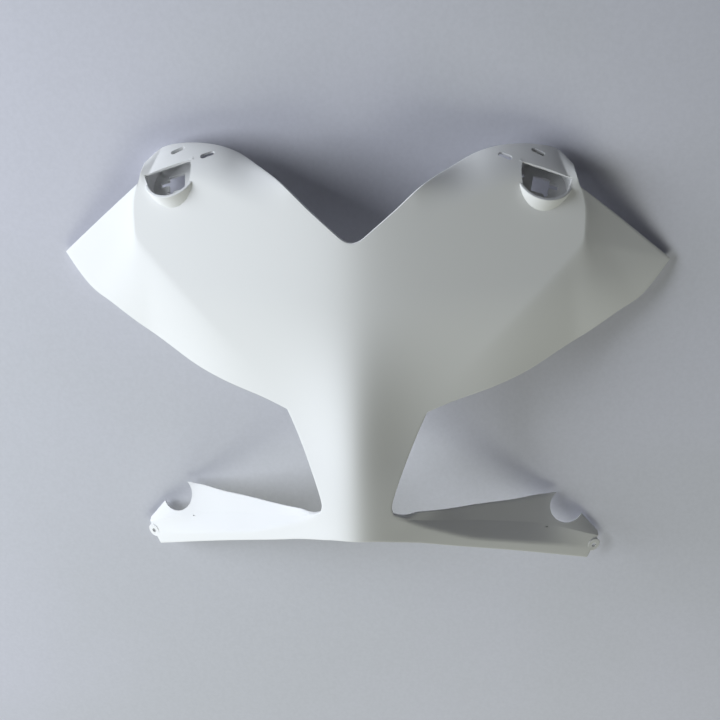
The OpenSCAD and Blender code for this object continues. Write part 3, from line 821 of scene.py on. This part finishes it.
def paintMaterial(obj):
    f, e = paintFinish, edgeFinish
    mat = bpy.data.materials.new("paintedShell")
    mat.use_nodes = True
    tree = mat.node_tree
    shader = tree.nodes["Principled BSDF"]
    surface = useGroup(tree, surfaceGroup())
    colour = mixColour(tree, surface["Cloud"], f["white"], f["shade"])
    edge = edgeGroup()
    wearAndShade = []
    # the opening's rim gets worn chips and painted shade of the return, the wider band there painted shade only,
    # the free edges wear
    for name, band in (("openingEdge", "opening"), ("freeEdge", "free"), ("openingEdge", "nest")):
        mask = useGroup(tree, edge, {"Distance": attribute(tree, name), "Reach": e[band + "Reach"],
                                     "Break": e[band + "Break"]})["Mask"]
        wearAndShade.append(mathNode(tree, "MULTIPLY", mask, e[band + "Strength"]))
    lineMark = lineMarkGroup()
    find = surfaceFinder(obj)
    light = 0.0
    for start, end, width, broken, strength, dark in paintMarksAndShadeLines:
        mask = useGroup(tree, lineMark, {"Start": find(*start), "End": find(*end), "Width": width / 1000,
                                      "Break": broken})["Mask"]
        mask = mathNode(tree, "MULTIPLY", mask, strength)
        if dark:
            wearAndShade.append(mask)
        else:
            light = mathNode(tree, "MAXIMUM", light, mask)
    dirtAndShade = wearAndShade[0]
    for mask in wearAndShade[1:]:
        dirtAndShade = mathNode(tree, "MAXIMUM", dirtAndShade, mask)
    # the grime colour paints dirt, wear, and shade at the opening's rim and along the fold
    colour = mixColour(tree, dirtAndShade, colour, f["grimeAndShade"])
    colour = mixColour(tree, light, colour, f["lightMark"])
    # the rear of the moulding has no paint
    sides = tree.nodes.new("ShaderNodeSeparateXYZ")
    setInput(tree, sides.inputs[0], tree.nodes.new("ShaderNodeNewGeometry").outputs["Normal"])
    bare = ramp(tree, sides.outputs["Y"], 0.12, 0.30)
    speckle = ramp(tree, noise(tree, objectPlace(tree), 60.0, 5.0), 0.30, 0.75, 0.86, 1.06)
    plastic = vectorNode(tree, "SCALE", f["bare"], scale=speckle)
    colour = mixColour(tree, bare, colour, plastic)
    rough = mathNode(tree, "ADD", f["roughness"], mathNode(tree, "MULTIPLY", surface["Scratch"], 0.16))
    wornAndShaded = mathNode(tree, "MAXIMUM", dirtAndShade, light)
    rough = mathNode(tree, "ADD", rough, mathNode(tree, "MULTIPLY", wornAndShaded, 0.35))
    rough = mathNode(tree, "MAXIMUM", rough, mathNode(tree, "MULTIPLY", bare, f["bareRoughness"]))
    gloss = mathNode(tree, "MULTIPLY", mathNode(tree, "SUBTRACT", 1.0, bare),
                     mathNode(tree, "SUBTRACT", f["coat"], mathNode(tree, "MULTIPLY", dirtAndShade, 0.8)), clamp=True)
    setInput(tree, shader.inputs["Base Color"], colour)
    setInput(tree, shader.inputs["Roughness"], rough)
    setInput(tree, shader.inputs["Coat Weight"], gloss)
    shader.inputs["Coat Roughness"].default_value = f["coatRoughness"]
    setInput(tree, shader.inputs["Normal"], surface["Normal"])
    return mat


edgeDistances(fairing)
fairing.data.materials.append(paintMaterial(fairing))
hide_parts("fairing")
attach(fairing, "root")
print("paint made")


# The paper that the fairing lies on stands upright here, just behind the rear plane
paperPlace = {"gap": 0.0012, "halfWidth": 2.2, "halfHeight": 2.2, "colour": (0.63, 0.63, 0.705),
              "shade": (0.605, 0.61, 0.665)}


def paperMaterial():
    mat = bpy.data.materials.new("palePaper")
    mat.use_nodes = True
    tree = mat.node_tree
    shader = tree.nodes["Principled BSDF"]
    place = objectPlace(tree)
    patches = ramp(tree, noise(tree, place, 2.6, 3.0), 0.35, 0.68)
    grain = ramp(tree, noise(tree, place, 260.0, 3.0), 0.2, 0.8, 0.975, 1.02)
    colour = mixColour(tree, patches, paperPlace["colour"], paperPlace["shade"])
    setInput(tree, shader.inputs["Base Color"], vectorNode(tree, "SCALE", colour, scale=grain))
    shader.inputs["Roughness"].default_value = 0.8
    shader.inputs["Specular IOR Level"].default_value = 0.2
    out = tree.nodes["Material Output"]
    sides = tree.nodes.new("ShaderNodeNewGeometry")
    clear = tree.nodes.new("ShaderNodeBsdfTransparent")
    choose = tree.nodes.new("ShaderNodeMixShader")
    tree.links.new(sides.outputs["Backfacing"], choose.inputs["Fac"])
    tree.links.new(shader.outputs["BSDF"], choose.inputs[1])
    tree.links.new(clear.outputs["BSDF"], choose.inputs[2])
    tree.links.new(choose.outputs["Shader"], out.inputs["Surface"])
    return mat


def makePaper():
    y = cadHigh[1] + paperPlace["gap"]
    w, h = paperPlace["halfWidth"], paperPlace["halfHeight"]
    paper = newObject("paper", [(-w, y, -h), (w, y, -h), (w, y, h), (-w, y, h)], [[0, 1, 2, 3]])
    paper.data.materials.append(paperMaterial())


makePaper()

# Camera of the photograph: 65 mm lens on a 36 mm square frame
photoCamera = {"lens": 65.0, "distance": 1300.0, "yaw": -6.5, "pitch": 30.0, "roll": -2.15, "aside": -2.4,
               "stand": 70.0}


def makeCamera():
    c = photoCamera
    # from the source's frame to the camera's: right, forward and up
    roll, pitch, yaw = (Matrix.Rotation(math.radians(c[name]), 3, axis)
                        for name, axis in (("roll", "Y"), ("pitch", "X"), ("yaw", "Z")))
    toView = roll @ pitch @ yaw
    back = toView.transposed()
    eye = back @ Vector((-c["aside"], -c["distance"], 0)) - Vector((0, c["stand"], 0))
    eye = (eye - Vector(middleOfPart)) / 1000
    right, forward, up = (back @ Vector(v) for v in ((1, 0, 0), (0, 1, 0), (0, 0, 1)))
    data = bpy.data.cameras.new("camera")
    data.lens, data.sensor_width, data.sensor_fit = c["lens"], 36.0, "HORIZONTAL"
    data.clip_start, data.clip_end = 0.05, 30
    camera = bpy.data.objects.new("camera", data)
    bpy.context.scene.collection.objects.link(camera)
    camera.matrix_world = Matrix(((right.x, up.x, -forward.x, eye.x), (right.y, up.y, -forward.y, eye.y),
                                  (right.z, up.z, -forward.z, eye.z), (0, 0, 0, 1)))
    bpy.context.scene.camera = camera


makeCamera()


def makeLamp(name, place, target, size, power, colour, shape):
    data = bpy.data.lights.new(name, "AREA")
    data.shape, data.size, data.size_y = shape, size[0], size[1]
    data.energy, data.color = power, colour
    lamp = bpy.data.objects.new(name, data)
    bpy.context.scene.collection.objects.link(lamp)
    lamp.location = place
    lamp.rotation_mode = "QUATERNION"
    lamp.rotation_quaternion = (Vector(target) - Vector(place)).to_track_quat("-Z", "Y")


# Lamps: place, what they point at and size in metres, then power in watts, colour and shape
lampPlan = {
    "windowLight": ((-1.9, -0.86, 0.48), (0, 0, 0), (1.7, 1.7), 60.0, (0.885, 0.94, 1.0), "RECTANGLE"),
    "lowFill": ((0.2, -1.6, -1.8), (0, 0, 0), (2.0, 1.2), 24.0, (0.96, 1.0, 0.87), "RECTANGLE"),
    "rearFill": ((0.5, 1.9, 0.9), (0, 0, 0), (1.8, 1.8), 15.0, (0.95, 0.97, 1.0), "RECTANGLE"),
    "sparkGlint": ((0.56, -0.98, -0.47), (0.08, -0.02, 0.06), (0.20, 0.024), 0.14, (1, 1, 1), "ELLIPSE"),
    "paleGlint": ((0.58, -1.0, -0.41), (0.08, -0.02, 0.06), (0.50, 0.12), 0.16, (1, 1, 1), "ELLIPSE"),
    "paneGlint": ((0.71, -0.79, -0.66), (0.13, 0, 0.04), (0.24, 0.16), 0.17, (0.93, 0.97, 1.0), "RECTANGLE"),
}
for name, (place, target, size, power, colour, shape) in lampPlan.items():
    makeLamp(name, place, target, size, power, colour, shape)

world = bpy.data.worlds.new("studio")
bpy.context.scene.world = world
world.use_nodes = True
world.node_tree.nodes["Background"].inputs["Color"].default_value = (0.82, 0.86, 0.90, 1)
world.node_tree.nodes["Background"].inputs["Strength"].default_value = 0.045
bpy.context.scene.view_settings.view_transform = "Standard"
